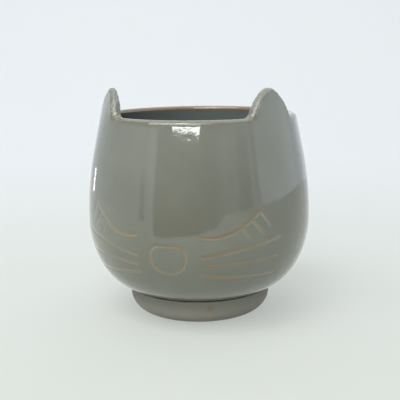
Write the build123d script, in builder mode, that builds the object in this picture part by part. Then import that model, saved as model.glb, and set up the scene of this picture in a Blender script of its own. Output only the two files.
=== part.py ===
from build123d import *
import os
from math import ceil, cos, hypot, radians, sin, tan

os.makedirs("parts", exist_ok=True)

# Cat planter in millimetres: a bowl with two ears that stands in a drip saucer.
# The table is z = 0, the axis of the bowl is Z and the face looks towards -Y.

# Saucer
saucer_radius = 44.6
saucer_wall = 4.5
saucer_floor = 5.5
saucer_corner = 12.0
saucer_inner_corner = 6.5
saucer_edge_round = 0.8
saucer_land = 5.6
recess_depth = 1.4

# Felt pads in the recess under the saucer
pad_count = 4
pad_turn = 45.0
pad_radius = 5.0
pad_proud = 0.6
pad_inset = 2.0

# Foot ring of the pot, and the room that it has in the saucer
foot_gap = 3.6
foot_width = 6.0
foot_height = 9.1
foot_ledge = 4.0
notch_count = 3
notch_turn = 90.0
notch_width = 8.0
notch_height = 4.0
seat_gap = 0.5

# Bowl of the pot, with heights above its underside and angles in degrees
wall = 6.0
drain_radius = 6.0
belly_radius = 70.0
belly_height = 45.4
belly_turn = 59.0
neck_lean = 11.9
neck_length = 22.3
rim_height = 110.8
lip_flat = 0.8

# Ears, cut from the same wall as the bowl; without the round of the tip their sides would meet in a point
right_ear_turn = 63.7
left_ear_turn = 57.0
ear_width = 34.8
ear_point = 18.2
ear_side_bow = 2.7
ear_tip_radius = 6.6
ear_root_round = 6.0
stock_allowance = 8.0

# Mesh disc over the drain hole
screen_radius = 21.0
screen_thickness = 1.2
screen_border = 2.0
mesh_hole = 2.2
mesh_bar = 1.2

# Face lines: turn from the face direction in degrees, height above the underside of the bowl
groove_width = 1.5
groove_depth = 0.8
stroke_length = 15.0
cheek_turn = 36.0
eye = [(16.0, 47.1), (25.0, 46.8), (34.3, 50.8), (46.3, 61.0)]
lashes = [
    [(45.5, 60.3), (50.9, 51.1)],
    [(40.6, 55.6), (46.8, 47.1)],
    [(35.4, 51.6), (38.7, 45.3)],
]
whiskers = [
    [(16.4, 35.2), (36.6, 39.4), (57.2, 43.6)],
    [(16.0, 29.4), (36.6, 30.1), (56.2, 31.0)],
    [(16.0, 24.3), (36.6, 21.0), (57.0, 20.0)],
]

# Nose outline: a half circle below, a straight rise and rounded corners above
nose_radius = 10.4
nose_height = 35.1
nose_rise = 6.6
nose_corner = 5.5

# Levels above the table
recess_level = pad_proud + recess_depth
foot_level = pad_proud + saucer_floor
bowl_level = foot_level + foot_height
floor_level = bowl_level + wall
belly_level = bowl_level + belly_height
rim_level = bowl_level + rim_height
stock_level = rim_level + ear_point + stock_allowance

# Radii worked out from the sizes above
saucer_inner_radius = saucer_radius - saucer_wall
recess_radius = saucer_radius - saucer_corner - saucer_land
pad_circle = recess_radius - pad_inset - pad_radius
foot_outer_radius = saucer_inner_radius - saucer_inner_corner - foot_gap
foot_inner_radius = foot_outer_radius - foot_width
base_radius = foot_outer_radius + foot_ledge
lip_round = (wall - lip_flat) / 2

# The lower wall is two tangent arcs that take it from level to upright
turn_sine = sin(radians(belly_turn))
turn_cosine = cos(radians(belly_turn))
turn_share = turn_sine + turn_cosine - 1
bowl_flare = belly_radius - base_radius
base_bend = (bowl_flare * turn_cosine - belly_height * (1 - turn_sine)) / turn_share
belly_bend = (belly_height * turn_sine - bowl_flare * (1 - turn_cosine)) / turn_share
bend_level = bowl_level + base_bend * (1 - turn_cosine)

# The upper wall is an arc that leans in until the straight neck begins
shoulder_bend = (rim_height - neck_length - belly_height) / sin(radians(neck_lean))


def bowl_wall(inset):
    """Half section of the bowl's wall from its bottom to the ears, moved in from the outside."""
    base_arc = CenterArc(
        (base_radius, bowl_level + base_bend), base_bend - inset, -90, belly_turn
    )
    CenterArc(
        (belly_radius - belly_bend, belly_level), belly_bend - inset, belly_turn - 90, 90 - belly_turn
    )
    shoulder_arc = CenterArc(
        (belly_radius - shoulder_bend, belly_level), shoulder_bend - inset, 0, neck_lean
    )
    neck_start = shoulder_arc @ 1
    neck_run = (stock_level - neck_start.Y) * tan(radians(neck_lean))
    neck = Line(neck_start, (neck_start.X - neck_run, stock_level))
    return base_arc @ 0, neck @ 1


def underside_level(radius):
    """Height of the bowl's underside at a radius."""
    return bowl_level + base_bend - (base_bend**2 - (radius - base_radius) ** 2) ** 0.5


def wall_radius(level):
    """Radius of the outside of the bowl at a level of the face."""
    if level < bend_level:
        return base_radius + (base_bend**2 - (base_bend - level + bowl_level) ** 2) ** 0.5
    bend = belly_bend if level < belly_level else shoulder_bend
    return belly_radius - bend + (bend**2 - (level - belly_level) ** 2) ** 0.5


def radial_plane(turn, level=0.0, distance=0.0):
    """Upright plane that looks outwards from the axis, turned from the face direction."""
    outward = Vector(sin(radians(turn)), -cos(radians(turn)), 0)
    along = Vector(cos(radians(turn)), sin(radians(turn)), 0)
    return Plane(origin=outward * distance + Vector(0, 0, level), x_dir=along, z_dir=outward)


def flat_points(points, plane_turn, side=1):
    """Points of a face line as seen on a radial plane, on the right (1) or left (-1) cheek."""
    places = []
    for turn, height in points:
        level = bowl_level + height
        across = wall_radius(level) * sin(radians(turn - plane_turn))
        places.append((side * across, level))
    return places


# Saucer: a turned dish whose edge follows the underside of the bowl
with BuildPart() as saucer:
    with BuildSketch(Plane.YZ):
        with BuildLine():
            Polyline(
                (0, foot_level),
                (0, recess_level),
                (recess_radius, recess_level),
                (recess_radius, pad_proud),
                (saucer_radius - saucer_corner, pad_proud),
            )
            CenterArc(
                (saucer_radius - saucer_corner, pad_proud + saucer_corner), saucer_corner, -90, 90
            )
            Polyline(
                (saucer_radius, pad_proud + saucer_corner),
                (saucer_radius, underside_level(saucer_radius) - seat_gap),
                (saucer_inner_radius, underside_level(saucer_inner_radius) - seat_gap),
                (saucer_inner_radius, foot_level + saucer_inner_corner),
            )
            CenterArc(
                (saucer_inner_radius - saucer_inner_corner, foot_level + saucer_inner_corner),
                saucer_inner_corner,
                -90,
                90,
            )
            Line((saucer_inner_radius - saucer_inner_corner, foot_level), (0, foot_level))
        make_face()
    revolve(axis=Axis.Z)
    edge_circles = saucer.edges().filter_by(GeomType.CIRCLE).sort_by(Axis.Z)[-2:]
    fillet(edge_circles, saucer_edge_round)

saucer.part.label = "saucer"
export_step(saucer.part, "parts/saucer.step")

# Felt pads, each a disc that fills the recess and stands a little proud of the saucer
for number in range(pad_count):
    pad_place = Plane.XY * PolarLocations(pad_circle, pad_count, start_angle=pad_turn).locations[number]
    with BuildPart() as pad:
        with BuildSketch(pad_place):
            Circle(pad_radius)
        extrude(amount=recess_level)

    pad.part.label = f"saucer_pad_{number + 1}"
    export_step(pad.part, f"parts/{pad.part.label}.step")

# Stock that is cut off above the rim, its seam at the back, with the two ears left out of it
with BuildPart() as rim_cut:
    with BuildSketch(Plane((0, 0, rim_level), x_dir=(0, 1, 0))):
        Circle(belly_radius)
    extrude(amount=stock_level - rim_level)
    for ear_turn in (right_ear_turn, -left_ear_turn):
        with BuildSketch(radial_plane(ear_turn, rim_level, base_radius)) as ear_outline:
            with BuildLine():
                ear_base = Line((-ear_width / 2, 0), (ear_width / 2, 0))
                SagittaArc(ear_base @ 1, (0, ear_point), -ear_side_bow)
                SagittaArc((0, ear_point), ear_base @ 0, -ear_side_bow)
            make_face()
            fillet(ear_outline.vertices().sort_by(Axis.Y)[-1], ear_tip_radius)
        extrude(amount=belly_radius, mode=Mode.SUBTRACT)
    rim_lines = rim_cut.edges().filter_by(GeomType.LINE).group_by(Axis.Z)[0]
    ear_roots = rim_lines.sort_by_distance((0, 0, rim_level))[2:]
    fillet(ear_roots, ear_root_round)

# Face lines as strokes that stop at a core set back by the depth of the grooves
stroke_start = belly_radius - stroke_length
nose_level = bowl_level + nose_height
cheek_curves = {}
for side in (1, -1):
    eye_points = flat_points(eye, cheek_turn, side)
    eye_inner = ThreePointArc(*eye_points[:3])
    eye_outer = TangentArc(*eye_points[2:], tangent=eye_inner % 1)
    eye_line = Wire([eye_inner, eye_outer])
    whisker_arcs = [ThreePointArc(*flat_points(line, cheek_turn, side)) for line in whiskers]
    lash_lines = [Line(*flat_points(line, cheek_turn, side)) for line in lashes]
    cheek_curves[side] = [eye_line, *whisker_arcs, *lash_lines]
with BuildPart() as carving:
    for side, curves in cheek_curves.items():
        with BuildSketch(radial_plane(side * cheek_turn, 0, stroke_start)):
            for curve in curves:
                SlotArc(curve, groove_width)
        extrude(amount=stroke_length + groove_depth)
    with BuildSketch(radial_plane(0, nose_level, stroke_start)) as nose:
        with BuildLine():
            CenterArc((0, 0), nose_radius, 180, 180)
            Polyline(
                (nose_radius, 0),
                (nose_radius, nose_rise),
                (-nose_radius, nose_rise),
                (-nose_radius, 0),
            )
        make_face()
        fillet(nose.vertices().group_by(Axis.Y)[-1], nose_corner)
        nose_face = nose.face()
        offset(nose_face, amount=groove_width / 2)
        offset(nose_face, amount=-groove_width / 2, mode=Mode.SUBTRACT)
    extrude(amount=stroke_length + groove_depth)
    with BuildSketch(Plane.YZ):
        with BuildLine():
            core_bottom, core_top = bowl_wall(groove_depth)
            Polyline(core_top, (0, core_top.Y), (0, core_bottom.Y), core_bottom)
        make_face()
    revolve(axis=Axis.Z, mode=Mode.SUBTRACT)

# Pot: wall and foot ring turned about the axis, notched for the water, cut to rim and ears,
# then rounded at the lip and carved
with BuildPart() as pot:
    with BuildSketch(Plane.YZ):
        with BuildLine():
            outer_bottom, outer_top = bowl_wall(0)
            inner_bottom, inner_top = bowl_wall(wall)
            Line(outer_top, inner_top)
            Polyline(
                inner_bottom,
                (drain_radius, floor_level),
                (drain_radius, bowl_level),
                (foot_inner_radius, bowl_level),
                (foot_inner_radius, foot_level),
                (foot_outer_radius, foot_level),
                (foot_outer_radius, bowl_level),
                outer_bottom,
            )
        make_face()
    revolve(axis=Axis.Z)
    with BuildSketch(Plane.XY.offset(foot_level)):
        with PolarLocations(foot_outer_radius, notch_count, start_angle=notch_turn):
            Rectangle(2 * foot_width + foot_ledge, notch_width)
    extrude(amount=notch_height, mode=Mode.SUBTRACT)
    add(rim_cut.part, mode=Mode.SUBTRACT)
    neck_edges = pot.faces().filter_by(GeomType.CONE).edges()
    upper_edges = neck_edges.filter_by(lambda edge: edge.center().Z > rim_level - lip_round)
    lip_edges = upper_edges.filter_by(GeomType.LINE, reverse=True)
    fillet(lip_edges, lip_round)
    for stroke in carving.solids():
        add(stroke, mode=Mode.SUBTRACT)

pot.part.label = "pot"
export_step(pot.part, "parts/pot.step")

# Mesh disc that lies on the floor of the pot over the drain hole
mesh_pitch = mesh_hole + mesh_bar
mesh_reach = screen_radius - screen_border - mesh_hole / 2**0.5
mesh_steps = ceil(mesh_reach / mesh_pitch)
mesh_rows = [step * mesh_pitch for step in range(-mesh_steps, mesh_steps + 1)]
mesh_places = [(x, y) for x in mesh_rows for y in mesh_rows if hypot(x, y) < mesh_reach]
with BuildPart() as drain_screen:
    with BuildSketch(Plane.XY.offset(floor_level)):
        Circle(screen_radius)
        with Locations(*mesh_places):
            Rectangle(mesh_hole, mesh_hole, mode=Mode.SUBTRACT)
    extrude(amount=screen_thickness)

drain_screen.part.label = "drain_screen"
export_step(drain_screen.part, "parts/drain_screen.step")
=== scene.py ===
# %% [markdown]
# # A cat planter, from turned clay to glaze
# The planter is a slip-cast stoneware bowl with two ears on its rim and a cat's face pressed into its
# wall. It stands in a bare clay saucer. The imported model is loaded first: it fixes the frame, and every
# piece below is made in metres in that frame.

# %% Load the frame
from math import asin, atan2, cos, degrees, hypot, pi, radians, sin, sqrt, tan

import bpy
from mathutils import Matrix, Vector


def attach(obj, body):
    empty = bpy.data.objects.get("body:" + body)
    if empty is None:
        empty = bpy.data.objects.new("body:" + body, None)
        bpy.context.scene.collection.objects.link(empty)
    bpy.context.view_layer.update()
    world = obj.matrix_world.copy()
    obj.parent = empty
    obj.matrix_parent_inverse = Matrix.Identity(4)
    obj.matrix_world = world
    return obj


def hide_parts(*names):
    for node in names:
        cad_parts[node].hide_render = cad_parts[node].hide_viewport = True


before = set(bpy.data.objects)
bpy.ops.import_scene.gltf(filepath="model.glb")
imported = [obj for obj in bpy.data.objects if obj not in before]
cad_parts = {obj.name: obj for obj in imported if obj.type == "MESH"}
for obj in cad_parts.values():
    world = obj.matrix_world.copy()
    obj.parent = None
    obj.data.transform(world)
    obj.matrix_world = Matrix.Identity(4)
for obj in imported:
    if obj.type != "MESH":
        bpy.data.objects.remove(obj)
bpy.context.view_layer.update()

MM = 0.001
scene = bpy.context.scene
scene.view_settings.view_transform = "Standard"

# %% [markdown]
# ## Small tools
# Colours are written as sRGB hex values, as a colour picker shows them, and shaders want linear light, so
# one function turns one into the other. Node trees, for shapes and for materials alike, are built with one
# function that adds a node, sets its properties and fills its inputs with values or with other outputs. A
# node output knows its tree, so what is worked out from outputs needs no tree named.

# %% Colours and nodes


def linear(hex_colour):
    """An sRGB hex colour as a linear RGBA tuple."""
    channels = [int(hex_colour[place:place + 2], 16) / 255 for place in (1, 3, 5)]
    return tuple(c / 12.92 if c <= 0.04045 else ((c + 0.055) / 1.055) ** 2.4 for c in channels) + (1.0,)


def add_node(tree, kind, settings=None, inputs=None):
    """A new node with its settings made and its inputs set or linked."""
    node = tree.nodes.new(kind)
    for name, value in (settings or {}).items():
        setattr(node, name, value)
    for socket, value in (inputs or {}).items():
        if isinstance(value, bpy.types.NodeSocket):
            tree.links.new(value, node.inputs[socket])
        else:
            node.inputs[socket].default_value = value
    return node


def result(kind, inputs, output=0, **settings):
    """An output of a new node, which goes into the tree of the outputs that it is given."""
    tree = next(value.id_data for value in inputs.values() if isinstance(value, bpy.types.NodeSocket))
    return add_node(tree, kind, settings, inputs).outputs[output]


print("mid grey", [round(channel, 3) for channel in linear("#808080")])

# %% [markdown]
# Short forms keep the trees below readable. These work in every tree: a sum, a product, a measure of vectors,
# a vector put together or taken apart, and a number that changes smoothly with another.

# %% Short forms for numbers


def calc(operation, *values):
    """The result of one Math node."""
    return result("ShaderNodeMath", dict(enumerate(values)), operation=operation)


def times(product, *factors):
    """The product of some numbers."""
    for factor in factors:
        product = calc("MULTIPLY", product, factor)
    return product


def measure(operation, *vectors):
    """The number that a Vector Math node makes: a length, a distance or a product."""
    return result("ShaderNodeVectorMath", dict(enumerate(vectors)), "Value", operation=operation)


def vector_of(*parts):
    """A vector put together from its X, Y and Z."""
    return result("ShaderNodeCombineXYZ", dict(enumerate(parts)))


def part_of(vector, axis):
    """The X, Y or Z of a vector."""
    return result("ShaderNodeSeparateXYZ", {"Vector": vector}, axis)


def ease(value, low, high, start=0.0, end=1.0):
    """A number that goes smoothly from start to end while the value goes from low to high."""
    return result("ShaderNodeMapRange", {
        "Value": value, "From Min": low, "From Max": high, "To Min": start, "To Max": end,
    }, interpolation_type="SMOOTHSTEP")


print("short forms for numbers ready")

# %% [markdown]
# These are for materials: a noise, patchy wear, a mask that the mesh carries, a mixed colour, and the start
# and the end of a material.

# %% Short forms for materials


def noise(place, size, detail=2.0, roughness=0.5):
    """Noise from 0 to 1 whose lumps are about that many millimetres across."""
    return result("ShaderNodeTexNoise", {
        "Vector": place, "Scale": 1 / (size * MM), "Detail": detail, "Roughness": roughness})


def worn(place, size, least):
    """Patches of about that many millimetres that go from a least share up to 1."""
    return ease(noise(place, size), 0.35, 0.65, least, 1.0)


def mask(tree, name):
    """A number that the mesh carries under a name."""
    return add_node(tree, "ShaderNodeAttribute", {"attribute_name": name}).outputs["Fac"]


def mix(share, first, second):
    """A colour between two others, each a hex value or the output of a node."""
    first, second = [linear(colour) if isinstance(colour, str) else colour for colour in (first, second)]
    return result("ShaderNodeMix", {0: share, 6: first, 7: second}, 2, data_type="RGBA")


def new_material(name):
    """An empty node material, its tree and its object coordinates."""
    material = bpy.data.materials.new(name)
    material.use_nodes = True
    tree = material.node_tree
    tree.nodes.clear()
    return material, tree, add_node(tree, "ShaderNodeTexCoord").outputs["Object"]


def finish_surface(colour, roughness, ior, height, depth, sheen=0.0):
    """The surface shader, with a height map whose full swing is a depth in millimetres."""
    bump = result("ShaderNodeBump", {"Strength": 1.0, "Distance": depth * MM, "Height": height})
    shader = result("ShaderNodeBsdfPrincipled", {
        "Base Color": colour, "Roughness": roughness, "IOR": ior, "Sheen Weight": sheen, "Normal": bump})
    add_node(colour.id_data, "ShaderNodeOutputMaterial", inputs={"Surface": shader})


print("short forms for materials ready")

# %% [markdown]
# ## Stoneware glaze
# The bowl has a warm grey feldspar glaze, dipped and fired to a gloss. It clouds a little over a few
# centimetres. Where it runs thin, on the pressed lines of the face, the iron in the clay shows through as
# tan: potters call this breaking. Beside each line the glaze is painted a little paler, a painted highlight
# for the light that the edges of the groove catch. The mesh carries the lines as an attribute, made with the
# shape itself, so the material only has to mix colours by it.

# %% Glaze colour: body and lines
GLAZE_THICK, GLAZE_THIN, GLAZE_EDGE_HIGHLIGHT, GLAZE_BREAK = "#626357", "#707165", "#7d8076", "#876b3e"
cloud_size, line_wear_size, line_wear_least, edge_highlight_gain = 28.0, 2.5, 0.45, 1.6

glaze, tree, place = new_material("stoneware_warm_grey_glaze")
glaze_body = mix(noise(place, cloud_size, 3.0, 0.55), GLAZE_THICK, GLAZE_THIN)
line = mask(tree, "line")
beside_line = times(line, calc("SUBTRACT", 1.0, line))
# Painted highlight: a paler band beside each line, where the groove's edges catch the light.
edge_highlighted = mix(times(beside_line, edge_highlight_gain), glaze_body, GLAZE_EDGE_HIGHLIGHT)
line_worn = worn(place, line_wear_size, line_wear_least)
lined = mix(times(line, line_worn), edge_highlighted, GLAZE_BREAK)
print("glaze so far:", len(tree.nodes), "nodes")

# %% [markdown]
# The glaze also breaks on the lip: brown along the back rim, a dull tan along the front, and hardly at all
# on the ears, where it runs down the edges in beads. Inside the bowl it is cooler. It stops short of the
# foot ring, which stays bare clay. The fired skin has a fine orange peel on a slow ripple, which bends what
# the bowl mirrors.

# %% Glaze colour: lip, inside, foot and skin
LIP_TAN, RIM_BROWN, GLAZE_INSIDE, CLAY_PALE = "#5f5a4a", "#7a6350", "#6b7571", "#747166"
rim_back, lip_wear_size, lip_wear_least, front_wear, ear_wear = 40.0, 2.0, 0.6, 0.8, 0.15
glazed_roughness, bare_roughness, glaze_ior = 0.055, 0.85, 1.6
peel_size, peel_share, ripple_size, bead_size, bead_gain, skin_depth = 4.0, 0.4, 12.0, 1.2, 7.0, 0.08

lip, ear, bare, inside = [mask(tree, name) for name in ("lip", "ear", "bare", "inside")]
to_back = part_of(place, "Y")
rim_wear = ease(to_back, -10 * MM, rim_back * MM, front_wear, 1.0)
wear = ease(ear, 0.0, 0.4, rim_wear, ear_wear)
lip_colour = mix(ease(to_back, 0.0, rim_back * MM), LIP_TAN, RIM_BROWN)
lip_share = times(lip, worn(place, lip_wear_size, lip_wear_least), wear)
lipped = mix(lip_share, mix(inside, lined, GLAZE_INSIDE), lip_colour)
coloured = mix(bare, lipped, CLAY_PALE)
roughness = ease(bare, 0.0, 1.0, glazed_roughness, bare_roughness)
peel, ripple = noise(place, peel_size), noise(place, ripple_size)
skin = calc("MULTIPLY_ADD", peel, peel_share, ripple)
beads = times(lip, ease(ear, 0.05, 0.3), noise(place, bead_size))
finish_surface(coloured, roughness, glaze_ior, calc("MULTIPLY_ADD", beads, bead_gain, skin), skin_depth)
print("glaze has", len(tree.nodes), "nodes")

# %% [markdown]
# ## Bare clay
# The saucer is the same stoneware without glaze: matte, warm grey, with fine grit, soft cloudy tone, a
# darker band of painted shade under its edge, where the bowl overhangs it, a toasted line along its lowest
# edge where the kiln shelf held the heat, and one small iron spot. Height and distance in object space place
# them, so they stay on the clay from any side.

# %% Clay material
CLAY_WARM, CLAY_GREY, CLAY_PAINTED_SHADE, CLAY_TOAST = "#908c80", "#868479", "#7a786d", "#987f70"
GRIT_DARK, IRON_SPOT = "#6c6960", "#80643a"
toast_level, toast_height, shade_low, shade_high = 0.6, 2.2, 6.0, 15.0
spot_place, spot_radius, spot_ragged = Vector((17.6, -41.0, 12.2)) * MM, 2.2, 1.5
clay_roughness, clay_ior, grit_depth = 0.78, 1.5, 0.05

clay, tree, place = new_material("bare_stoneware_clay")
clouds = noise(place, 16.0, 4.0, 0.6)
grit = noise(place, 0.8, 3.0, 0.7)
clay_body = mix(clouds, CLAY_GREY, CLAY_WARM)
gritty = mix(ease(grit, 0.45, 0.75, 0.0, 0.35), clay_body, GRIT_DARK)
up = part_of(place, "Z")
# Painted shade: darker towards the top edge, where the bowl overhangs the saucer.
shaded = mix(ease(up, shade_low * MM, shade_high * MM), gritty, CLAY_PAINTED_SHADE)
toast = ease(up, toast_level * MM, (toast_level + toast_height) * MM, 0.8, 0.0)
toasted = mix(toast, shaded, CLAY_TOAST)
spot_gap = measure("DISTANCE", place, spot_place)
ragged_gap = calc("MULTIPLY_ADD", clouds, -spot_ragged * MM, spot_gap)
spotted = mix(ease(ragged_gap, 0.0, spot_radius * MM, 0.5, 0.0), toasted, IRON_SPOT)
finish_surface(spotted, clay_roughness, clay_ior, grit, grit_depth)
print("clay has", len(tree.nodes), "nodes")

# %% [markdown]
# ## Moulded polyethylene and pressed felt
# The mesh disc over the drain hole is injection-moulded polyethylene: nearly black, waxy, with the faint
# mottle of a spark-eroded mould. The pads under the saucer are pressed wool felt: no gloss at all, and
# short fibres in every direction, drawn here a little coarser than life so that they show.

# %% Plastic and felt materials
PLASTIC_DARK, PLASTIC_PALE, FELT_DARK, FELT_PALE = "#26282a", "#35373a", "#57524a", "#7d766b"

plastic, tree, place = new_material("moulded_black_polyethylene")
mottle = noise(place, 0.5)
finish_surface(mix(mottle, PLASTIC_DARK, PLASTIC_PALE), 0.42, 1.51, mottle, 0.01)

felt, tree, place = new_material("pressed_wool_felt")
fibres = noise(place, 1.4, 6.0, 0.75)
finish_surface(mix(fibres, FELT_DARK, FELT_PALE), 0.95, 1.45, fibres, 0.12, sheen=0.4)
print("materials", [material.name for material in (glaze, clay, plastic, felt)])

# %% [markdown]
# ## The section line of the bowl
# A potter would cut a rib to this line. From the foot it goes up the outside in three tangent arcs and a
# straight neck, over the lip, down the inside and back to the drain hole. The arcs follow from a few sizes:
# the radius of the base and of the belly, the angle at which the lower two arcs meet, the lean of the neck.

# %% Sizes of the wall
base_radius, bowl_level = 34.0, 15.2
belly_radius, belly_level, belly_turn = 70.0, 60.6, 59.0
neck_lean, neck_length, rim_level = 11.9, 22.3, 126.0
wall, lip_flat = 6.0, 0.8

flare, climb = belly_radius - base_radius, belly_level - bowl_level
turn_sine, turn_cosine = sin(radians(belly_turn)), cos(radians(belly_turn))
turn_share = turn_sine + turn_cosine - 1
base_bend = (flare * turn_cosine - climb * (1 - turn_sine)) / turn_share
belly_bend = (climb * turn_sine - flare * (1 - turn_cosine)) / turn_share
shoulder_bend = (rim_level - neck_length - belly_level) / sin(radians(neck_lean))
print("bends in mm", round(base_bend, 1), round(belly_bend, 1), round(shoulder_bend, 1))

# %% [markdown]
# Points lie close together where the face is pressed in, so the shoulder arc is walked in two parts: dense
# up to the top of the eyes, open above.

# %% Arcs of the wall
face_top = 18.0


def arc(centre, radius, start, sweep, steps):
    """Points of an arc in the section plane, from the second one on; angles in degrees."""
    turns = [radians(start + sweep * step / steps) for step in range(1, steps + 1)]
    return [(centre[0] + radius * cos(turn), centre[1] + radius * sin(turn)) for turn in turns]


def straight(start, end, steps):
    """Points of a straight run, from the second one on."""
    shares = [step / steps for step in range(1, steps + 1)]
    return [(start[0] + (end[0] - start[0]) * s, start[1] + (end[1] - start[1]) * s) for s in shares]


def wall_arcs(inset, base_steps, belly_steps, face_steps, shoulder_steps):
    """The bowl's wall from its bottom to the neck, moved in from the outside by the inset."""
    face_lean = degrees(asin(face_top / shoulder_bend))
    shoulder = (belly_radius - shoulder_bend, belly_level), shoulder_bend - inset
    return [
        (base_radius, bowl_level + inset),
        *arc((base_radius, bowl_level + base_bend), base_bend - inset, -90, belly_turn, base_steps),
        *arc((belly_radius - belly_bend, belly_level), belly_bend - inset,
             belly_turn - 90, 90 - belly_turn, belly_steps),
        *arc(*shoulder, 0, face_lean, face_steps),
        *arc(*shoulder, face_lean, neck_lean - face_lean, shoulder_steps),
    ]


outer_wall = wall_arcs(0.0, 10, 58, 34, 10)
inner_wall = wall_arcs(wall, 6, 6, 3, 4)
print("wall points outside and inside", len(outer_wall), len(inner_wall))

# %% [markdown]
# The neck goes on as a cone to the lip, which is rounded on both sides. The foot ring, with softened edges,
# and the floor with its drain hole close the line.

# %% Neck, lip, foot and floor
lip_round = (wall - lip_flat) / 2
lip_low = rim_level - lip_round
wall_across = wall / cos(radians(neck_lean))
half_lip = (wall_across - lip_flat) / 2
foot_outer, foot_inner, foot_level, foot_edge, drain_radius, drain_edge = 30.0, 24.0, 6.1, 0.8, 6.0, 1.0
foot_soft = 0.3 * foot_edge
floor_level = bowl_level + wall


def neck_point(start, level):
    """Where the straight neck that starts at a point reaches a level."""
    return start[0] - (level - start[1]) * tan(radians(neck_lean)), level


outer_neck = straight(outer_wall[-1], neck_point(outer_wall[-1], lip_low), 16)
inner_neck = straight(inner_wall[-1], neck_point(inner_wall[-1], lip_low), 10)
lip_turns = [radians(turn) for turn in range(15, 91, 15)]
lip_points = [(half_lip * (1 - cos(turn)), lip_round * (1 - sin(turn))) for turn in lip_turns]
lip_points += [(wall_across - across, drop) for across, drop in reversed(lip_points)]
foot_line = [
    (drain_radius + drain_edge, bowl_level),
    (foot_inner - foot_edge, bowl_level), (foot_inner, bowl_level - foot_edge),
    (foot_inner, foot_level + foot_edge), (foot_inner + foot_soft, foot_level + foot_soft),
    (foot_inner + foot_edge, foot_level), (foot_outer - foot_edge, foot_level),
    (foot_outer - foot_soft, foot_level + foot_soft), (foot_outer, foot_level + foot_edge),
    (foot_outer, bowl_level - foot_edge), (foot_outer + foot_edge, bowl_level),
]
floor_line = [
    *straight(inner_wall[0], (drain_radius + drain_edge, floor_level), 4),
    (drain_radius, floor_level - drain_edge), (drain_radius, bowl_level + drain_edge),
]
print("lip", len(lip_points), "points, foot", len(foot_line), "points")

# %% [markdown]
# Each point of the section also carries numbers for the turning: how much of the ears' height it takes
# (lift), how far it lies below the crown of the lip (drop), whether it is on the outside, which thins the
# ears, and masks for the inside, the lip and the bare foot.

# %% Numbers on the section
SECTION_NUMBERS = ("lift", "drop", "outside", "inside", "lip", "bare")
lip_fade, outside_lip, inside_lip, bare_margin = 2.5, 0.25, 0.9, 0.05


def point_row(point, lift=0.0, drop=0.0, outside=0.0, inside=0.0, lip=0.0, bare=0.0):
    """A point of a section with its numbers."""
    return {"point": point, **dict(zip(SECTION_NUMBERS, (lift, drop * MM, outside, inside, lip, bare)))}


def near_lip(level, most):
    """A mask that fades out below the lip."""
    return max(0.0, 1 - (lip_low - level) / lip_fade) * most


pot_rows = [point_row(point, bare=1.0) for point in foot_line]
pot_rows += [point_row(point, bare=float(point[1] < bowl_level + bare_margin)) for point in outer_wall]
for step, point in enumerate(outer_neck, 1):
    lift, near = step / len(outer_neck), near_lip(point[1], outside_lip)
    pot_rows.append(point_row(point, lift, lip_round, outside=1.0, lip=near))
for across, drop in lip_points:
    outer_radius, level = neck_point(outer_wall[-1], rim_level - drop)
    share = across / wall_across
    pot_rows.append(point_row((outer_radius - across, level), 1.0, drop, 1.0 - share, 0.5 * share, 1.0))
for step, point in reversed(list(enumerate([inner_wall[-1], *inner_neck]))):
    lift, near = step / len(inner_neck), near_lip(point[1], inside_lip)
    pot_rows.append(point_row(point, lift, lip_round, inside=1.0, lip=near))
pot_rows += [point_row(point, inside=1.0) for point in [*reversed(inner_wall[:-1]), *floor_line]]
print("section of the pot:", len(pot_rows), "points")

# %% [markdown]
# Drawn lines reach the node trees as meshes of points joined in runs, with the numbers as attributes.

# %% Sections as meshes


def line_object(name, runs, numbers):
    """A mesh of points in millimetres joined in runs, that carries named numbers on its points."""
    mesh = bpy.data.meshes.new(name)
    edges, first = [], 0
    for run in runs:
        edges += [(first + place, first + place + 1) for place in range(len(run) - 1)]
        first += len(run)
    mesh.from_pydata([Vector(point) * MM for run in runs for point in run], edges, [])
    for attribute, values in numbers.items():
        mesh.attributes.new(attribute, "FLOAT", "POINT").data.foreach_set("value", values)
    drawn = bpy.data.objects.new(name, mesh)
    scene.collection.objects.link(drawn)
    return drawn


def section_object(name, rows):
    """A section line with the numbers that the turned wall reads."""
    numbers = {key: [row[key] for row in rows] for key in SECTION_NUMBERS}
    return line_object(name, [[(row["point"][0], 0.0, row["point"][1]) for row in rows]], numbers)


pot_section = section_object("pot_section", pot_rows)
print("drawn:", pot_section.name)

# %% [markdown]
# ## The face
# A sleeping cat is pressed into the soft clay with a loop tool: a shut eye with lashes and whiskers on each
# cheek, and a round nose. Every stroke is an arc or a straight line on a plane that faces one cheek, laid
# onto the wall. Points are given as a turn from the face direction and a height above the bowl's underside.

# %% Points of the face
cheek_turn = 36.0
eye = [(16.0, 47.1), (25.0, 46.8), (34.3, 50.8), (46.3, 61.0)]
lashes = [[(45.5, 60.3), (50.9, 51.1)], [(40.6, 55.6), (46.8, 47.1)], [(35.4, 51.6), (38.7, 45.3)]]
whiskers = [
    [(16.4, 35.2), (36.6, 39.4), (57.2, 43.6)],
    [(16.0, 29.4), (36.6, 30.1), (56.2, 31.0)],
    [(16.0, 24.3), (36.6, 21.0), (57.0, 20.0)],
]
nose_radius, nose_height, nose_rise, nose_corner = 10.4, 35.1, 6.6, 5.5
bend_level = bowl_level + base_bend * (1 - turn_cosine)


def wall_radius(level):
    """Radius of the outside of the bowl at a level of the face."""
    if level < bend_level:
        return base_radius + sqrt(base_bend**2 - (base_bend - level + bowl_level) ** 2)
    bend = belly_bend if level < belly_level else shoulder_bend
    return belly_radius - bend + sqrt(bend**2 - (level - belly_level) ** 2)


def on_cheek(points):
    """Points of the face as seen square on to the cheek: across and level."""
    flat = []
    for turn, height in points:
        level = bowl_level + height
        flat.append((wall_radius(level) * sin(radians(turn - cheek_turn)), level))
    return flat


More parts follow.
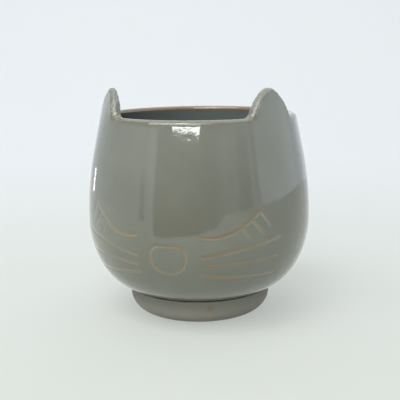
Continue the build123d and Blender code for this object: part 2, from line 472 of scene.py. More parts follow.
def onto_wall(flat, plane_turn, side):
    """A point of such a flat drawing laid onto the outside of the bowl."""
    across, level = flat
    turn = radians(plane_turn) + asin(across / wall_radius(level))
    return side * wall_radius(level) * sin(turn), -wall_radius(level) * cos(turn), level


print("wall radius at the nose", round(wall_radius(bowl_level + nose_height), 1), "mm")

# %% [markdown]
# Two kinds of arc make the strokes: one through three points, and one that leaves another smoothly.

# %% Arcs of the strokes


def arc_about(centre, start, end, steps):
    """Points of the shorter arc about a centre, both ends among them."""
    turns = [degrees(atan2(y - centre[1], x - centre[0])) for x, y in (start, end)]
    sweep = (turns[1] - turns[0] + 180) % 360 - 180
    return [start, *arc(centre, hypot(start[0] - centre[0], start[1] - centre[1]), turns[0], sweep, steps)]


def centre_through(first, middle, last):
    """Centre of the circle through three points."""
    (ax, ay), (bx, by), (cx, cy) = first, middle, last
    twice_area = 2 * (ax * (by - cy) + bx * (cy - ay) + cx * (ay - by))
    a2, b2, c2 = ax * ax + ay * ay, bx * bx + by * by, cx * cx + cy * cy
    return ((a2 * (by - cy) + b2 * (cy - ay) + c2 * (ay - by)) / twice_area,
            (a2 * (cx - bx) + b2 * (ax - cx) + c2 * (bx - ax)) / twice_area)


def centre_onward(before, start, end):
    """Centre of the arc that goes on smoothly at a point from the arc about another centre."""
    radial, chord = Vector(start) - Vector(before), Vector(end) - Vector(start)
    return tuple(Vector(start) + radial * chord.length_squared / (2 * chord.dot(radial)))


def eye_stroke(points):
    """The shut eye: an arc and a second one that rises from it."""
    first_centre = centre_through(*points[:3])
    second_centre = centre_onward(first_centre, *points[2:])
    first_part = arc_about(first_centre, points[0], points[2], 16)
    return first_part + arc_about(second_centre, points[2], points[3], 14)[1:]


print("eye of", len(eye_stroke(on_cheek(eye))), "points")

# %% [markdown]
# The glaze doesn't break evenly: strongest at the inner ends of the eyes and whiskers, hardly at all on the
# lashes, and less on the cat's right cheek than on its left. Each stroke carries that as its ink.

# %% Draw the face lines
cheek_inks = {1: {"eye": (1.0, 0.8), "whisker": (1.0, 0.55), "lash": (0.5, 0.35)},
              -1: {"eye": (0.9, 0.25), "whisker": (0.75, 0.12), "lash": (0.2, 0.15)}}
nose_ink = (0.55, 0.95)
face_runs, face_ink = [], []


def draw_stroke(stroke, plane_turn, side, inks):
    """Lays a stroke onto the wall, with ink that changes from its start to its end."""
    face_runs.append([onto_wall(point, plane_turn, side) for point in stroke])
    face_ink.extend(inks[0] + (inks[1] - inks[0]) * place / (len(stroke) - 1) for place in range(len(stroke)))


for side, inks in cheek_inks.items():
    draw_stroke(eye_stroke(on_cheek(eye)), cheek_turn, side, inks["eye"])
    for whisker in whiskers:
        ends = on_cheek(whisker)
        bow = arc_about(centre_through(*ends), ends[0], ends[2], 40)
        draw_stroke(bow, cheek_turn, side, inks["whisker"])
    for lash in lashes:
        start, end = on_cheek(lash)
        draw_stroke([start, *straight(start, end, 10)], cheek_turn, side, inks["lash"])

nose_top = nose_rise - nose_corner
half_nose = [
    (0, -nose_radius), *arc((0, 0), nose_radius, -90, 90, 16), (nose_radius, nose_top),
    *arc((nose_radius - nose_corner, nose_top), nose_corner, 0, 90, 12), (0, nose_rise),
]
nose_level = bowl_level + nose_height
for side in (1, -1):
    draw_stroke([(side * x, y + nose_level) for x, y in half_nose], 0.0, 1, nose_ink)
face_lines = line_object("face_lines", face_runs, {"ink": face_ink})
print("face:", len(face_runs), "strokes,", len(face_ink), "points")

# %% [markdown]
# ## The ears as a rule
# Each ear is an arch with bowed sides and a round tip, seen from outside. Its height above the rim depends
# only on how far a point lies across from the ear's middle: a tip arc, a side arc, and a hollow arc at the
# root, each touching the next. The two ears stand at slightly different turns from the face.

# %% Work out the ear's outline
ear_turn_right, ear_turn_left = 63.2, 57.0
ear_width, ear_point, ear_side_bow, ear_tip_radius, ear_root_round = 34.6, 16.8, 3.1, 7.2, 6.0

side_chord = hypot(ear_width / 2, ear_point)
side_bend = (side_chord**2 / 4 + ear_side_bow**2) / (2 * ear_side_bow)
side_inset = (side_bend - ear_side_bow) / side_chord
side_x, side_y = ear_width / 4 - ear_point * side_inset, ear_point / 2 - ear_width / 2 * side_inset
tip_y = side_y + sqrt((side_bend - ear_tip_radius) ** 2 - side_x**2)
ear_rise = tip_y + ear_tip_radius
ear_reach = side_x + sqrt((side_bend + ear_root_round) ** 2 - (ear_root_round - side_y) ** 2)
tip_end = -side_x * ear_tip_radius / (side_bend - ear_tip_radius)
side_end = side_x + (ear_reach - side_x) * side_bend / (side_bend + ear_root_round)


def ear_height(across):
    """Height of the ear above the rim at a distance across from its middle."""
    if across < tip_end:
        return tip_y + sqrt(ear_tip_radius**2 - across**2)
    if across < side_end:
        return side_y + sqrt(side_bend**2 - (across - side_x) ** 2)
    return ear_root_round - sqrt(max(0.0, ear_root_round**2 - (ear_reach - across) ** 2))


print("ear: rise", round(ear_rise, 2), "reach", round(ear_reach, 2), "mm")

# %% [markdown]
# A Float Curve node can hold such a line, so the rule is sampled into two of them: the height, and how much
# the lip has to be stretched upwards so that it stays as round on the steep sides as on the level rim.

# %% Sample the ear for the node tree
curve_steps = 64
step_across = ear_reach / curve_steps
heights = [ear_height(step * step_across) for step in range(curve_steps + 1)]
stretches = []
for step in range(curve_steps + 1):
    ahead, behind = min(step + 1, curve_steps), max(step - 1, 0)
    slope = (heights[ahead] - heights[behind]) / ((ahead - behind) * step_across)
    stretches.append(sqrt(1 + slope**2))
greatest_stretch = max(stretches)


def curve_points(values, most):
    """Values at even steps as points of a Float Curve."""
    return [(step / curve_steps, value / most) for step, value in enumerate(values)]


print("lip stretched up to", round(greatest_stretch, 2), "times")

# %% [markdown]
# ## Geometry Nodes: a turned wall
# Turning is a rule, so the bowl is made by a node tree. A few more short forms come first: a tree with named
# inputs, its end, and the ways in which a tree reads, keeps and moves things.

# %% Short forms for geometry


def new_tree(name, named_inputs):
    """A geometry tree with named inputs, and what its input node gives out."""
    tree = bpy.data.node_groups.new(name, "GeometryNodeTree")
    for kind, names in {"Geometry": ["Geometry"], **named_inputs, "Material": ["Material"]}.items():
        for input_name in names:
            tree.interface.new_socket(input_name, in_out="INPUT", socket_type=f"NodeSocket{kind}")
    tree.interface.new_socket("Geometry", in_out="OUTPUT", socket_type="NodeSocketGeometry")
    return tree, add_node(tree, "NodeGroupInput").outputs


def finish_tree(geometry, material):
    """The end of a tree: smooth shading, real geometry in place of instances, and the material."""
    tree = geometry.id_data
    smooth = result("GeometryNodeSetShadeSmooth", {"Geometry": geometry})
    real = result("GeometryNodeRealizeInstances", {"Geometry": smooth})
    painted = result("GeometryNodeSetMaterial", {"Geometry": real, "Material": material})
    add_node(tree, "NodeGroupOutput", inputs={"Geometry": painted})
    print(tree.name, "has", len(tree.nodes), "nodes")


def drawing(drawn):
    """The geometry of a drawn object."""
    return result("GeometryNodeObjectInfo", {"Object": drawn}, "Geometry")


def stored(tree, name):
    """A number that geometry carries under a name."""
    settings = {"data_type": "FLOAT"}
    return add_node(tree, "GeometryNodeInputNamedAttribute", settings, {"Name": name}).outputs[0]


def store(geometry, name, value):
    """Geometry that carries a number under a name on its points."""
    inputs = {"Geometry": geometry, "Name": name, "Value": value}
    return result("GeometryNodeStoreNamedAttribute", inputs, data_type="FLOAT", domain="POINT")


def sampled(geometry, value, index, kind="FLOAT"):
    """What a value is at a numbered point of other geometry."""
    inputs = {"Geometry": geometry, "Value": value, "Index": index}
    return result("GeometryNodeSampleIndex", inputs, data_type=kind)


def pushed(geometry, direction, amount):
    """Geometry whose points are moved in a direction by an amount."""
    push = result("ShaderNodeVectorMath", {0: direction, "Scale": amount}, operation="SCALE")
    return result("GeometryNodeSetPosition", {"Geometry": geometry, "Offset": push})


print("short forms for geometry ready")

# %% [markdown]
# The wall is a grid whose rows are the points of the section and whose columns go round the axis. The same
# tree turns the saucer and the pads, with the ears and lines left at nothing. First the tree, its named
# inputs, and the row of the section that each point of the grid reads.

# %% Turning tree: rows
turning, given = new_tree("turned_wall", {
    "Object": ["Section", "Face lines"], "Int": ["Columns"],
    "Float": ["Crowding", "Ear turn right", "Ear turn left", "Ear reach", "Ear rise", "Thinning right",
              "Thinning left", "Neck lean", "Foot level", "Notch height", "Notch width", "Groove depth",
              "Groove reach", "Lump depth", "Lump size"],
})
section = drawing(given["Section"])
rows = result("GeometryNodeAttributeDomainSize", {"Geometry": section}, "Point Count")
rows_closed = calc("ADD", rows, 1)
columns_closed = calc("ADD", given["Columns"], 1)
grid = result("GeometryNodeMeshGrid", {"Vertices X": columns_closed, "Vertices Y": rows_closed})
number = add_node(turning, "GeometryNodeInputIndex").outputs[0]
column = calc("FLOOR", calc("DIVIDE", number, rows_closed))
row = calc("FLOORED_MODULO", calc("FLOORED_MODULO", number, rows_closed), rows)
print("inputs:", len(turning.interface.items_tree) - 1)

# %% [markdown]
# Sample Index nodes fetch the place and the numbers of that section point.

# %% Turning tree: what the section carries
here = add_node(turning, "GeometryNodeInputPosition").outputs[0]
on_section = sampled(section, here, row, "FLOAT_VECTOR")
section_radius, section_level = [part_of(on_section, axis) for axis in "XZ"]
carried = {name: sampled(section, stored(turning, name), row) for name in SECTION_NUMBERS}
print("carried:", list(carried))

# %% [markdown]
# Columns start at the back, pass the face in the middle and end at the back. A sine pulls them towards the
# face, where the detail is.

# %% Turning tree: the turn of each column
step_turn = calc("DIVIDE", 2 * pi, given["Columns"])
even_turn = calc("MULTIPLY_ADD", column, step_turn, -pi)
pull = times(calc("SINE", even_turn), given["Crowding"])
turn = calc("SUBTRACT", even_turn, pull)
print("turning tree:", len(turning.nodes), "nodes")

# %% [markdown]
# The rim rises into the ears: the distance across from the middle of the nearer ear goes through the two
# Float Curves. First the ear that a column belongs to, and its share of the ear's reach.

# %% Turning tree: which ear


def by_side(right, left):
    """One number on the right half of the grid, another on the left."""
    return result("ShaderNodeMix", {0: on_right, 2: left, 3: right}, data_type="FLOAT")


def across_from(turned, radius):
    """Distance across from a middle that a point is turned away from."""
    return times(calc("ABSOLUTE", calc("SINE", turned)), radius)


def ear_curve(points):
    """The ear's share sent through a line of points."""
    node = add_node(turning, "ShaderNodeFloatCurve", inputs={"Value": ear_share})
    curve = node.mapping.curves[0]
    curve.points[0].location, curve.points[1].location = points[0], points[-1]
    for point in points[1:-1]:
        curve.points.new(*point)
    for point in curve.points:
        point.handle_type = "VECTOR"
    node.mapping.update()
    return node.outputs[0]


on_right = calc("GREATER_THAN", turn, 0.0)
ear_turn = by_side(given["Ear turn right"], given["Ear turn left"])
from_ear = calc("SUBTRACT", calc("ABSOLUTE", turn), ear_turn)
ear_across = across_from(from_ear, section_radius)
ear_share = calc("MINIMUM", calc("DIVIDE", ear_across, given["Ear reach"]), 1.0)
print("turning tree:", len(turning.nodes), "nodes")

# %% [markdown]
# Lifted points also move in along the leaning neck, and the outside of the cat's right ear, on the left
# here, moves in a little more towards its tip, so that ear gets thinner.

# %% Turning tree: ears
ear_here = times(ear_curve(curve_points(heights, ear_rise)), given["Ear rise"])
stretch_share = ear_curve(curve_points(stretches, greatest_stretch))
stretch = calc("MULTIPLY_ADD", stretch_share, greatest_stretch, -1.0)
raised = calc("SUBTRACT", ear_here, times(stretch, carried["drop"]))
lifted = times(raised, carried["lift"])
risen = calc("DIVIDE", lifted, given["Ear rise"])
leant = times(lifted, calc("TANGENT", given["Neck lean"]))
thinning = by_side(given["Thinning right"], given["Thinning left"])
thinned = times(risen, risen, times(carried["outside"], thinning))
radius = calc("SUBTRACT", calc("SUBTRACT", section_radius, leant), thinned)
print("turning tree:", len(turning.nodes), "nodes")

# %% [markdown]
# Three notches in the foot ring let the water out: near their middles no point may lie lower than the
# notch's roof. Then every point is placed, the masks are stored, and the seams of the grid are closed.

# %% Turning tree: notches and places
third, notch_soft, seam_reach = 2 * pi / 3, 0.3 * MM, 0.002 * MM
from_notch = calc("WRAP", calc("SUBTRACT", turn, third / 2), third / 2, -third / 2)
notch_across = across_from(from_notch, radius)
half_notch = times(given["Notch width"], 0.5)
notch_start, notch_end = [calc(way, half_notch, notch_soft) for way in ("SUBTRACT", "ADD")]
in_notch = ease(notch_across, notch_start, notch_end, 1.0, 0.0)
notch_roof = calc("MULTIPLY_ADD", in_notch, given["Notch height"], given["Foot level"])
level = calc("MAXIMUM", calc("ADD", section_level, lifted), notch_roof)
right_place = times(radius, calc("SINE", turn))
back_place = times(radius, calc("COSINE", calc("ADD", turn, pi)))
turned_place = vector_of(right_place, back_place, level)

masked = grid
for name in ("inside", "lip", "bare"):
    masked = store(masked, name, carried[name])
masked = store(masked, "ear", risen)
shaped = result("GeometryNodeSetPosition", {"Geometry": masked, "Position": turned_place})
closed = result("GeometryNodeMergeByDistance", {"Geometry": shaped, "Distance": seam_reach})
print("turning tree:", len(turning.nodes), "nodes")

# %% [markdown]
# The face is pressed in by the distance from its lines. The nearest point of a line also says how much ink
# it carries there: faint strokes are shallower too.

# %% Turning tree: face lines
least_press = 0.25
pressed = drawing(given["Face lines"])
line_gap = result("GeometryNodeProximity", {"Geometry": pressed}, "Distance", target_element="EDGES")
nearest = result("GeometryNodeSampleNearest", {"Geometry": pressed}, domain="POINT")
ink = sampled(pressed, stored(turning, "ink"), nearest)
stroke = ease(line_gap, 0.0, given["Groove reach"], 1.0, 0.0)
marked = store(closed, "line", times(stroke, ink))
press = times(stroke, calc("MULTIPLY_ADD", ink, 1 - least_press, least_press))
inward = times(press, times(given["Groove depth"], -1.0))
level_place = result("ShaderNodeVectorMath", {0: here, 1: (1.0, 1.0, 0.0)}, operation="MULTIPLY")
outward = result("ShaderNodeVectorMath", {0: level_place}, operation="NORMALIZE")
grooved = pushed(marked, outward, inward)
print("turning tree:", len(turning.nodes), "nodes")

# %% [markdown]
# The glaze runs down the edges of the ears in small lumps, which glint, and lies almost even on the rest of
# the lip. The lumps rise and sink about the ear's own surface.

# %% Turning tree: lumps and finish
rim_lumps = 0.15
lump_scale = calc("DIVIDE", 1.0, given["Lump size"])
lump_noise = result("ShaderNodeTexNoise", {"Vector": here, "Scale": lump_scale, "Detail": 1.0})
on_ear = ease(stored(turning, "ear"), 0.02, 0.3, rim_lumps, 1.0)
lumps = calc("SUBTRACT", lump_noise, 0.5)
lump_height = times(lumps, stored(turning, "lip"), on_ear, given["Lump depth"])
facing = add_node(turning, "GeometryNodeInputNormal").outputs[0]
lumpy = pushed(grooved, facing, lump_height)
finish_tree(lumpy, given["Material"])

# %% [markdown]
# ## Turn the bowl
# The tree runs as a modifier. Its inputs are set by the sockets' identifiers before the object is first
# evaluated; the result is then kept as a plain mesh, so that the piece can ride on a body of the model and
# be exported. A mesh whose signed volume is negative is inside out, and is turned.

# %% From tree to piece


def signed_volume(mesh):
    """Volume inside a closed mesh in cubic millimetres, negative where it is inside out."""
    mesh.calc_loop_triangles()
    corners = [[mesh.vertices[place].co for place in triangle.vertices] for triangle in mesh.loop_triangles]
    return sum(a.dot(b.cross(c)) for a, b, c in corners) / 6 / MM**3


def made_by_nodes(name, tree, values, body, node, moved=Vector((0.0, 0.0, 0.0))):
    """A plain mesh piece from a node tree, which rides on a body and stands for a node of the model."""
    carrier = bpy.data.objects.new(name + "_carrier", bpy.data.meshes.new(name + "_carrier"))
    scene.collection.objects.link(carrier)
    modifier = carrier.modifiers.new("shape", "NODES")
    modifier.node_group = tree
    identifiers = {item.name: item.identifier for item in tree.interface.items_tree if item.in_out == "INPUT"}
    for socket, value in values.items():
        modifier[identifiers[socket]] = value
    evaluated = carrier.evaluated_get(bpy.context.evaluated_depsgraph_get())
    mesh = bpy.data.meshes.new_from_object(evaluated)
    mesh.name = name
    bpy.data.objects.remove(carrier)
    mesh.transform(Matrix.Translation(moved))
    if signed_volume(mesh) < 0:
        mesh.flip_normals()
    piece = bpy.data.objects.new(name, mesh)
    scene.collection.objects.link(piece)
    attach(piece, body)
    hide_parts(node)
    print(name, len(mesh.polygons), "faces,", round(signed_volume(mesh) / 1000, 2), "ml")

# %% [markdown]
# The bowl, with its ears, face and foot ring, is one casting, so it is one piece.

# %% Make the pot
pot_columns, pot_crowding = 490, 0.55
ear_thinning, notch_height, notch_width = 1.6, 4.0, 8.0
groove_depth, groove_reach, lump_depth, lump_size = 0.7, 1.45, 1.3, 2.2
made_by_nodes("cat_bowl", turning, {
    "Section": pot_section, "Face lines": face_lines, "Columns": pot_columns, "Crowding": pot_crowding,
    "Ear turn right": radians(ear_turn_right), "Ear turn left": radians(ear_turn_left),
    "Ear reach": ear_reach * MM, "Ear rise": ear_rise * MM, "Neck lean": radians(neck_lean),
    "Thinning right": 0.0, "Thinning left": ear_thinning * MM,
    "Foot level": foot_level * MM, "Notch height": notch_height * MM, "Notch width": notch_width * MM,
    "Groove depth": groove_depth * MM, "Groove reach": groove_reach * MM,
    "Lump depth": lump_depth * MM, "Lump size": lump_size * MM, "Material": glaze,
}, "pot", "pot")

# %% [markdown]
# ## Turn the saucer
# The saucer is thrown as a shallow dish: a flat land round the hollow for its pads, a round lower corner,
# and an edge cut to follow the bowl's underside, a little over half a millimetre below it.

# %% Section of the saucer
saucer_radius, saucer_wall, saucer_corner, inner_corner = 44.6, 4.5, 12.0, 6.5
pad_proud, recess_depth, recess_edge, saucer_land, seat_gap, edge_round = 0.6, 1.4, 0.4, 5.6, 0.55, 0.6
corner_radius, saucer_inner = saucer_radius - saucer_corner, saucer_radius - saucer_wall
recess_radius, recess_level = corner_radius - saucer_land, pad_proud + recess_depth


def saucer_edge(radius):
    """Height of the saucer's edge: the bowl's underside at a radius, less the gap."""
    return bowl_level + base_bend - sqrt(base_bend**2 - (radius - base_radius) ** 2) - seat_gap


edge_outer, edge_inner = saucer_edge(saucer_radius) - edge_round, saucer_edge(saucer_inner) - edge_round
corner_level = foot_level + inner_corner
saucer_line = [
    (0.0, recess_level), (recess_radius - recess_edge, recess_level),
    (recess_radius, recess_level - recess_edge), (recess_radius, pad_proud + recess_edge),
    (recess_radius + recess_edge, pad_proud), (corner_radius, pad_proud),
    *arc((corner_radius, pad_proud + saucer_corner), saucer_corner, -90, 90, 24), (saucer_radius, edge_outer),
    *arc((saucer_radius - edge_round, edge_outer), edge_round, 0, 80, 5),
    *arc((saucer_inner + edge_round, edge_inner), edge_round, 110, 70, 5),
    *straight((saucer_inner, edge_inner), (saucer_inner, corner_level), 2),
    *arc((saucer_inner - inner_corner, corner_level), inner_corner, 0, -90, 10),
    *straight((saucer_inner - inner_corner, foot_level), (0.0, foot_level), 4),
]
saucer_section = section_object("saucer_section", [point_row(point) for point in saucer_line])
print("section of the saucer:", len(saucer_line), "points")

# %% [markdown]
# A plain turned piece has no face lines, so it is given an empty drawing.

# %% Make the saucer
no_lines = line_object("no_lines", [], {})
plain = {"Face lines": no_lines, "Groove reach": MM, "Lump size": MM}
made_by_nodes("drip_saucer", turning, {
    **plain, "Section": saucer_section, "Columns": 240, "Material": clay}, "saucer", "saucer")

# %% [markdown]
# ## Felt pads
# Four discs of pressed felt are glued into the hollow under the saucer, so that it doesn't scratch a table.
# Die-cut felt has a soft edge, and the weight of the pot squeezes it out a little at half its height.

# %% Make the pads
pad_radius, pad_edge, pad_top_inset, pad_waist_inset = 5.0, 0.5, 0.2, 0.05
pad_circle, pad_count, pad_turn = 20.0, 4, 45.0
pad_top_radius = pad_radius - pad_top_inset
pad_line = [
    (0.0, 0.0), *straight((0.0, 0.0), (pad_radius - pad_edge, 0.0), 6),
    *arc((pad_radius - pad_edge, pad_edge), pad_edge, -90, 90, 4),
    (pad_radius - pad_waist_inset, recess_level / 2), (pad_top_radius, recess_level),
    *straight((pad_top_radius, recess_level), (0.0, recess_level), 6),
]
pad_section = section_object("pad_section", [point_row(point) for point in pad_line])
for pad in range(1, pad_count + 1):
    turned = radians(pad_turn + 360 * (pad - 1) / pad_count)
    made_by_nodes(f"felt_pad_{pad}", turning, {
        **plain, "Section": pad_section, "Columns": 48, "Material": felt,
    }, "saucer", f"saucer_pad_{pad}", Vector((cos(turned), sin(turned), 0.0)) * pad_circle * MM)

# %% [markdown]
# ## The mesh disc
# A moulded disc keeps the soil in and lets the water out. It is a flat ring with round bars laid both ways,
# and bars repeat, so Geometry Nodes make them: one bar is put on each point of a line, and its length
# follows from the circle that it has to reach. The second layer is the first one turned by a quarter.

# %% Mesh tree: bars
meshing, given = new_tree("mesh_disc", {
    "Float": ["Radius", "Border", "Thickness", "Pitch", "Level"], "Int": ["Bars"]})
half_bar = times(given["Thickness"], 0.5)
span = times(calc("SUBTRACT", given["Bars"], 1.0), given["Pitch"])
first_place = vector_of(times(span, -0.5))
places = result("GeometryNodeMeshLine", {
    "Count": given["Bars"], "Start Location": first_place, "Offset": vector_of(given["Pitch"]),
}, mode="OFFSET")
reach = calc("MULTIPLY_ADD", given["Border"], -0.5, given["Radius"])
off_middle = measure("LENGTH", add_node(meshing, "GeometryNodeInputPosition").outputs[0])
reach_square, off_square = [calc("POWER", value, 2.0) for value in (reach, off_middle)]
half_length = calc("SQRT", calc("SUBTRACT", reach_square, off_square))
bar_ends = {"Start": (0, -1, 0), "End": (0, 1, 0)}
bar_line = add_node(meshing, "GeometryNodeCurvePrimitiveLine", inputs=bar_ends).outputs[0]
bar_round = result("GeometryNodeCurvePrimitiveCircle", {"Resolution": 10, "Radius": half_bar})
bar = result("GeometryNodeCurveToMesh", {
    "Curve": bar_line, "Profile Curve": bar_round, "Fill Caps": True})
one_way = result("GeometryNodeInstanceOnPoints", {
    "Points": places, "Instance": bar, "Scale": vector_of(1.0, half_length, 1.0)})
other_way = result("GeometryNodeTransform", {"Geometry": one_way, "Rotation": (0.0, 0.0, pi / 2)})
print("mesh tree:", len(meshing.nodes), "nodes")

# %% [markdown]
# The ring is a rounded rectangle swept round a circle. Everything is joined and raised onto the pot's floor.

# %% Mesh tree: ring and finish
ring_edge = 0.4
ring_line = result("GeometryNodeCurvePrimitiveCircle", {"Resolution": 96, "Radius": reach})
ring_size = {"Width": given["Border"], "Height": given["Thickness"]}
ring_section = result("GeometryNodeCurvePrimitiveQuadrilateral", ring_size)
ring_round = result("GeometryNodeFilletCurve", {
    "Curve": ring_section, "Count": 4, "Radius": ring_edge * MM}, mode="POLY")
ring = result("GeometryNodeCurveToMesh", {"Curve": ring_line, "Profile Curve": ring_round})
joined = add_node(meshing, "GeometryNodeJoinGeometry")
for layer in (one_way, other_way, ring):
    meshing.links.new(layer, joined.inputs[0])
raise_by = vector_of(0.0, 0.0, calc("ADD", given["Level"], half_bar))
on_floor = result("GeometryNodeTransform", {"Geometry": joined.outputs[0], "Translation": raise_by})
finish_tree(on_floor, given["Material"])

# %% [markdown]
# The disc gets as many bars as its width has room for.

# %% Make the mesh disc
screen_radius, screen_thickness, screen_border, mesh_hole, mesh_bar = 21.0, 1.2, 2.0, 2.2, 1.2
mesh_pitch = mesh_hole + mesh_bar
bar_count = 2 * int((screen_radius - screen_border) / mesh_pitch)
made_by_nodes("mesh_disc", meshing, {
    "Radius": screen_radius * MM, "Border": screen_border * MM, "Thickness": screen_thickness * MM,
    "Pitch": mesh_pitch * MM, "Bars": bar_count, "Level": floor_level * MM, "Material": plastic,
}, "screen", "drain_screen")

# %% [markdown]
# ## Table and backdrop
# The planter stands on a pale table that sweeps up into a backdrop behind it, in one sheet, so no horizon
# shows. Places on the stage are given from the camera's direction: a turn round the planter, a distance and
# a height.

# %% Tools for the stage
camera_turn = 15.4


def around(turn_from_camera, distance, height):
    """A place round the planter, turned from the camera's direction, in metres from millimetres."""
    turn = radians(camera_turn + turn_from_camera)
    return Vector((distance * sin(turn), -distance * cos(turn), height)) * MM


def stage_mesh(name, material, lines):
    """A sheet between lines of points, one after the other, that isn't part of the planter."""
    mesh = bpy.data.meshes.new(name)
    count = len(lines[0])
    faces = [(a * count + b, a * count + b + 1, (a + 1) * count + b + 1, (a + 1) * count + b)
             for a in range(len(lines) - 1) for b in range(count - 1)]
    mesh.from_pydata([point for line in lines for point in line], [], faces)
    mesh.materials.append(material)
    mesh.shade_smooth()
    sheet = bpy.data.objects.new(name, mesh)
    scene.collection.objects.link(sheet)
    return sheet


def seen_share(tree, direct, mirrored):
    """One share on rays from the camera, one by way of a mirror or glass, 0 on rays that only carry light."""
    rays = add_node(tree, "ShaderNodeLightPath").outputs
    in_mirror = calc("MAXIMUM", rays["Is Glossy Ray"], rays["Is Transmission Ray"])
    mirror_share = times(in_mirror, mirrored)
    return calc("MULTIPLY_ADD", rays["Is Camera Ray"], direct, mirror_share)


print("camera turned", camera_turn, "degrees from the face")

# %% [markdown]
# The paper is lightened for the camera, so the shadow on it stays faint. In mirrors it is brighter still,
# most in front of the planter, and less behind it. Close to its foot it is lightened less in mirrors: a
# painted shadow of the planter, as the bowl mirrors the table.

# %% Set the stage
FLOOR_PALE, FLOOR_WHITE, BACKDROP_PALE = "#ced3cd", "#d2d6d1", "#e4e8eb"
front_boost, behind_boost, mirrored_shadow_boost, camera_pale, mirror_pale = 0.68, 0.3, 0.36, 0.64, 0.75
sweep_start, sweep_radius, backdrop_top, stage_reach = 700.0, 500.0, 2400.0, 40000.0

paper, tree, place = new_material("pale_matt_paper")
floor_colour = mix(noise(place, 60.0), FLOOR_PALE, FLOOR_WHITE)
behind = measure("DOT_PRODUCT", place, around(180, 1000, 0.0))
paper_colour = mix(ease(behind, -200 * MM, 800 * MM), floor_colour, BACKDROP_PALE)
lit = result("ShaderNodeBsdfPrincipled", {"Base Color": paper_colour, "Roughness": 0.8})
far_boost = ease(behind, 0.0, 400 * MM, front_boost, behind_boost)
# Painted shadow: close to the planter's foot the paper is lightened less in mirrors.
boost = ease(measure("LENGTH", place), 50 * MM, 220 * MM, mirrored_shadow_boost, far_boost)
strength = calc("MULTIPLY_ADD", seen_share(tree, 0.0, 1.0), boost, 1.0)
pale = result("ShaderNodeEmission", {"Color": paper_colour, "Strength": strength})
pale_share = seen_share(tree, camera_pale, mirror_pale)
lightened = result("ShaderNodeMixShader", {0: pale_share, 1: lit, 2: pale})
add_node(tree, "ShaderNodeOutputMaterial", inputs={"Surface": lightened})

sweep = [(-stage_reach, 0.0), (sweep_start, 0.0)]
sweep += arc((sweep_start, sweep_radius), sweep_radius, -90, 90, 16)
sweep.append((sweep_start + sweep_radius, backdrop_top))
edges = [side * around(90, stage_reach, 0.0) for side in (-1, 1)]
stage_mesh("table_and_backdrop", paper, [[around(180, *point) + edge for point in sweep] for edge in edges])
print("stage reaches", sweep_start + sweep_radius, "mm behind the planter")

# %% [markdown]
# ## Light
# The light is soft daylight: an even dim sky, a large lamp overhead that lights the table, a skylight in
# front, a little to the left, and a small ceiling lamp that glints on the lip. A long window behind the
# camera draws the white patch under the lip, and a small one at the side the glint on the left.

# %% Lamps
SKY_PALE = "#e4ebef"
world = bpy.data.worlds.new("even_sky")
world.use_nodes = True
tree = world.node_tree
tree.nodes.clear()
sky_strength = calc("ADD", seen_share(tree, 0.6, 0.7), 0.3)
sky = result("ShaderNodeBackground", {"Color": linear(SKY_PALE), "Strength": sky_strength})
add_node(tree, "ShaderNodeOutputWorld", inputs={"Surface": sky})
scene.world = world
pot_middle = Vector((0.0, 0.0, 70.0)) * MM


def softbox(name, place, width, height, power):
    """A rectangular lamp at a place, turned to look at the planter."""
    lamp = bpy.data.lights.new(name, "AREA")
    lamp.shape, lamp.size, lamp.size_y, lamp.energy = "RECTANGLE", width * MM, height * MM, power
    holder = bpy.data.objects.new(name, lamp)
    holder.location = place
    holder.rotation_euler = (pot_middle - place).to_track_quat("-Z", "Y").to_euler()
    holder.visible_camera = False
    scene.collection.objects.link(holder)


softbox("ceiling_softbox", around(180, 250, 1500), 2000, 2000, 14.0)
softbox("skylight_in_front", around(-32, 950, 1400), 1600, 1000, 23.2)
softbox("window_behind_camera", around(-13.5, 1500, 650), 820, 108, 4.7)
softbox("side_window", around(-134, 700, 30), 26, 60, 0.04)
softbox("ceiling_lamp", around(-30, 700, 1500), 300, 300, 2.6)

# %% [markdown]
# A glossy bowl mirrors the room on the camera's side. A tall screen that only reflections see stands for
# it, as a studio hangs flags to shape what a glaze mirrors: dim and near in the middle, lighter and farther
# to both sides. Each station has a turn, a distance, and a brightness below and above. The screen ends
# below the window as the neck sees it, and higher on the other side.

# %% Shape of the room screen
room_stations = [
    (-150, 700, 1.1, 1.1), (-125, 860, 1.1, 1.1), (-90, 740, 1.1, 1.3), (-60, 590, 1.2, 1.6),
    (-57, 580, 0.4, 1.6), (-54, 560, 0.4, 1.6), (-52, 540, 1.1, 1.7), (-44, 430, 1.1, 1.9),
    (-40, 330, 0.2, 0.9), (-20, 335, 0.1, 0.9), (0, 380, 0.1, 0.9), (15, 470, 0.2, 0.9),
    (25, 900, 0.6, 1.4), (38, 1210, 0.8, 1.8), (41, 1215, 0.5, 1.8), (52, 1225, 0.6, 1.9),
    (55, 1228, 1.3, 2.2), (57, 1230, 1.0, 1.7), (61, 1233, 1.0, 1.7), (64, 1235, 1.8, 2.2),
    (85, 1260, 2.0, 2.3), (112, 1340, 1.9, 2.1), (128, 1100, 1.3, 1.5), (150, 700, 1.4, 1.5),
]
room_rows = [(0.0, 0.0), (0.3, 0.1), (0.6, 0.6), (1.0, 1.0)]
neck_radius, neck_level, window_side = 58.0, 120.0, 30.0
low_rise, high_rise, above_table = tan(radians(16.5)), tan(radians(32)), 1.0
room_lines, room_tones = [], []
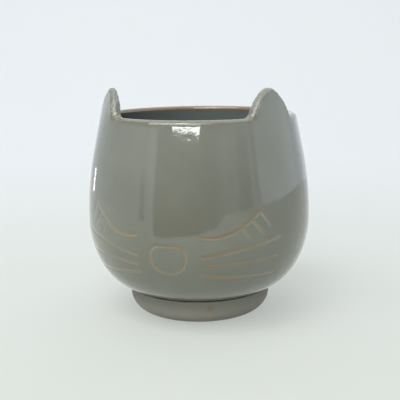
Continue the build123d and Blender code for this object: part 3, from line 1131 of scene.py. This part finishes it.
for share, blend in room_rows:
    line = []
    for turn, distance, low, high in room_stations:
        rise = low_rise if turn < window_side else high_rise
        screen_height = neck_level + (distance - neck_radius) * rise
        line.append(around(turn, distance, above_table + share * screen_height))
        room_tones.append(low + (high - low) * blend)
    room_lines.append(line)
print("room screen:", len(room_tones), "points")

# %% [markdown]
# The brightness rides on the screen's points as an attribute, which its material reads.

# %% The room that the glaze mirrors
ROOM_LIGHT = "#e7f0f9"
room_card, tree, _ = new_material("dim_room_card")
glow = result("ShaderNodeEmission", {"Color": linear(ROOM_LIGHT), "Strength": mask(tree, "tone")})
add_node(tree, "ShaderNodeOutputMaterial", inputs={"Surface": glow})
room = stage_mesh("room_screen", room_card, room_lines)
room.data.attributes.new("tone", "FLOAT", "POINT").data.foreach_set("value", room_tones)
room.visible_camera = room.visible_diffuse = room.visible_shadow = room.visible_transmission = False
print("room screen:", len(room.data.polygons), "faces")

# %% [markdown]
# ## Camera
# The camera stands a little to the cat's left, about half a metre away and a little higher than the ears,
# and looks down at the bowl. Its lens and place follow from a perspective fit of the outline.

# %% Camera
camera_distance, camera_height, camera_pitch, camera_roll = 480.0, 163.7, 11.05, 0.65
focal_pixels, shift_pixels, frame_pixels = 763.0, 1.0, 400
lens = bpy.data.cameras.new("photo_camera")
lens.sensor_width = 36.0
lens.lens = focal_pixels * lens.sensor_width / frame_pixels
lens.shift_x = shift_pixels / frame_pixels
lens.clip_start = 0.01
camera = bpy.data.objects.new("photo_camera", lens)
camera.location = around(0, camera_distance, camera_height)
turns = [(camera_turn, "Z"), (90 - camera_pitch, "X"), (-camera_roll, "Z")]
to_face, to_pitch, to_roll = [Matrix.Rotation(radians(angle), 4, axis) for angle, axis in turns]
camera.rotation_euler = (to_face @ to_pitch @ to_roll).to_euler()
scene.collection.objects.link(camera)
scene.camera = camera
print("camera at", [round(value, 4) for value in camera.location])

# %% [markdown]
# ## Finish
# The drawn lines have done their work and go.

# %% Finish
for drawn in (pot_section, face_lines, saucer_section, pad_section, no_lines):
    bpy.data.objects.remove(drawn)
